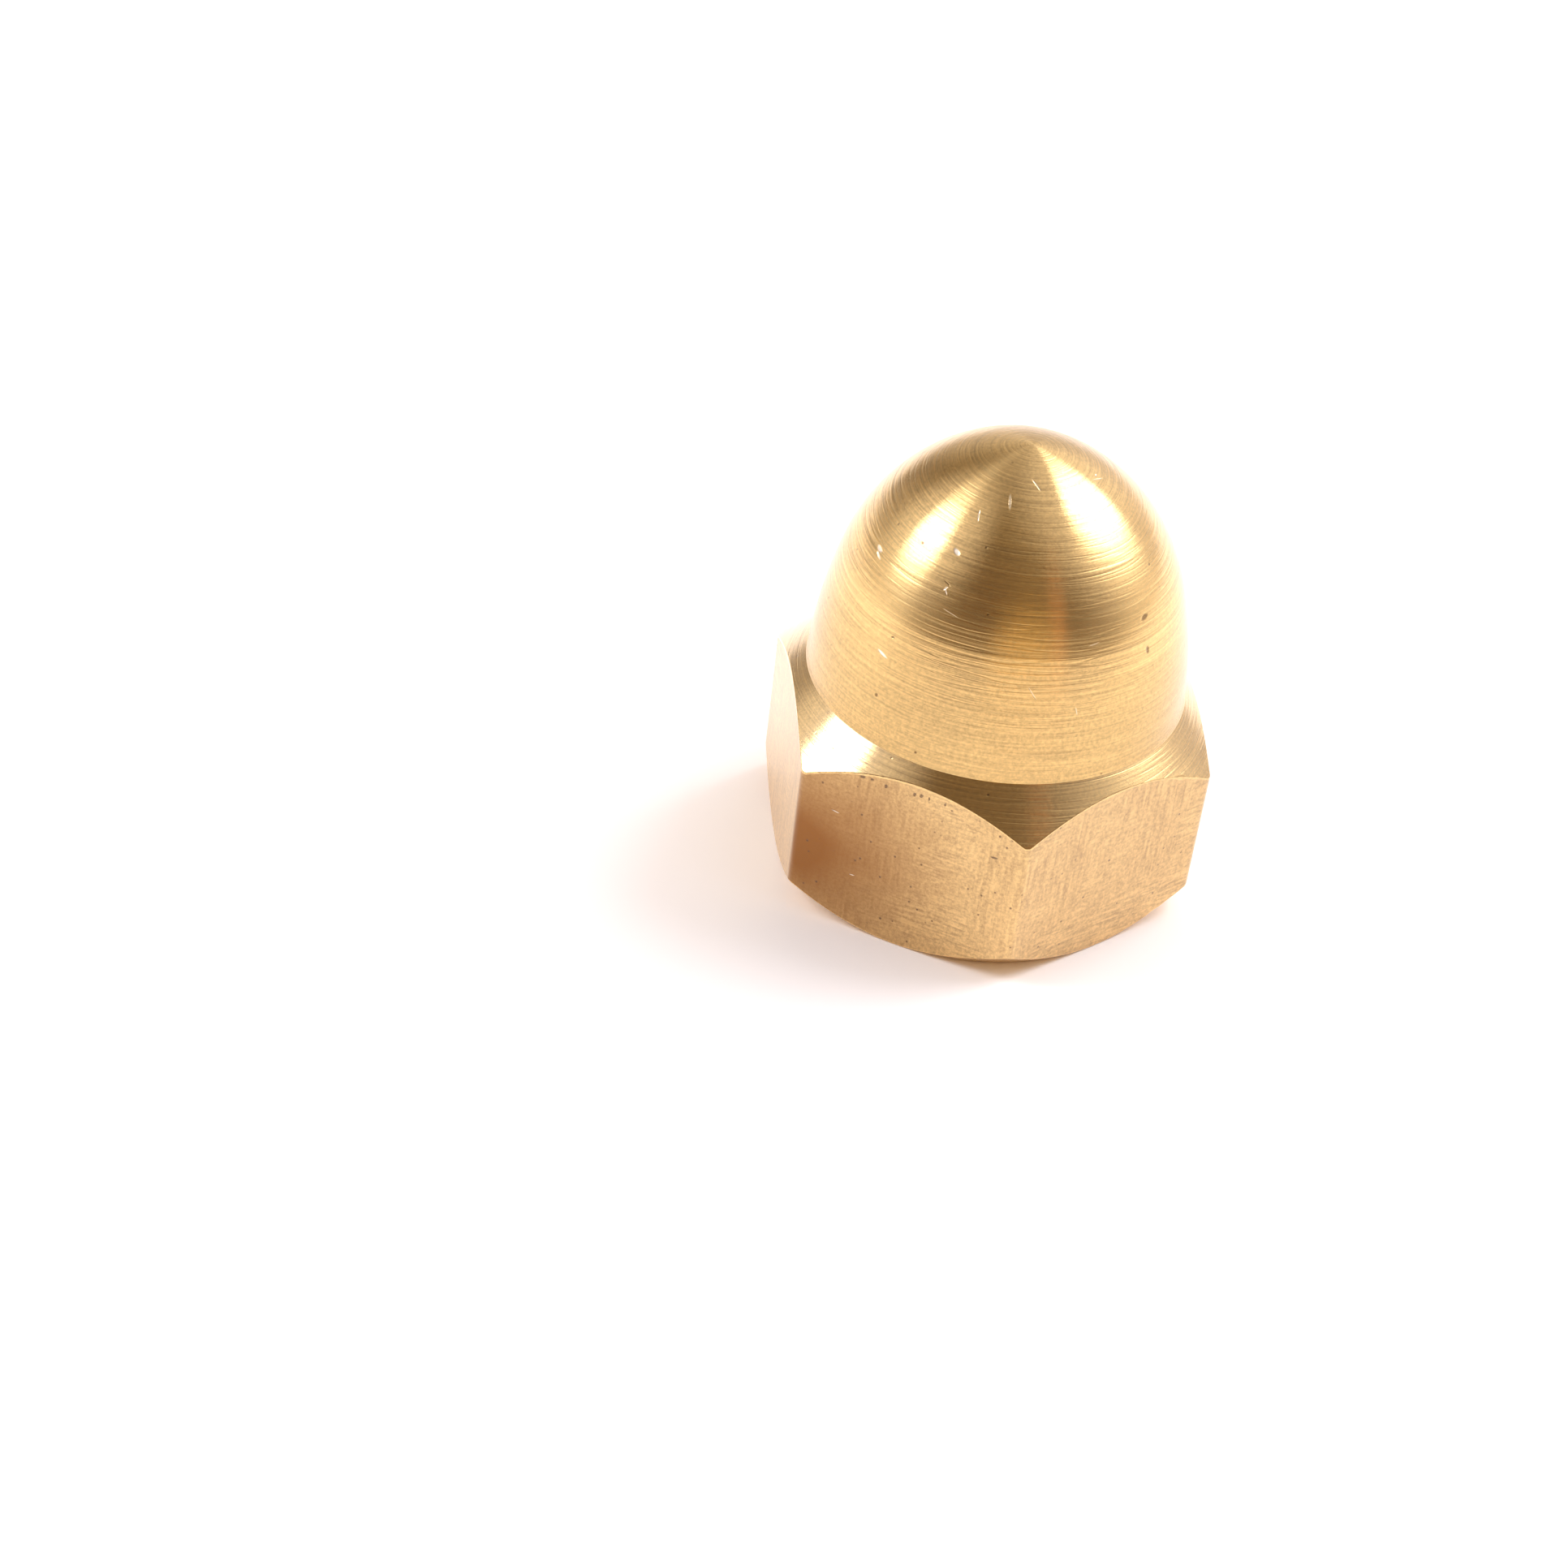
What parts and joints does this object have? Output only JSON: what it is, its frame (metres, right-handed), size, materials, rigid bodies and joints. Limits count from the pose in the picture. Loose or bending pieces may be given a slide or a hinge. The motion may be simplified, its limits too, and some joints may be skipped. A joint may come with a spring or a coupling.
{
  "type": "cap nut",
  "caption": "Domed hexagonal cap nut in turned brass, with a bullet-shaped dome, chamfered corners and a blind right-hand threaded hole.",
  "frame": {"origin": "centre of the bearing face, on the axis of the thread", "axes": "+Z along the thread's axis, from the open bearing face up to the tip of the dome; a corner of the hexagon lies on +X and on -X, and a flat faces +Y and -Y"},
  "size_m": [0.0218, 0.019, 0.022],
  "materials": {
    "brass": "dome and chamfers turned to a satin sheen with fine concentric tool marks, flats as drawn and a little grainy"
  },
  "bodies": {
    "root": {"cap_nut": "brass"}
  },
  "joints": []
}
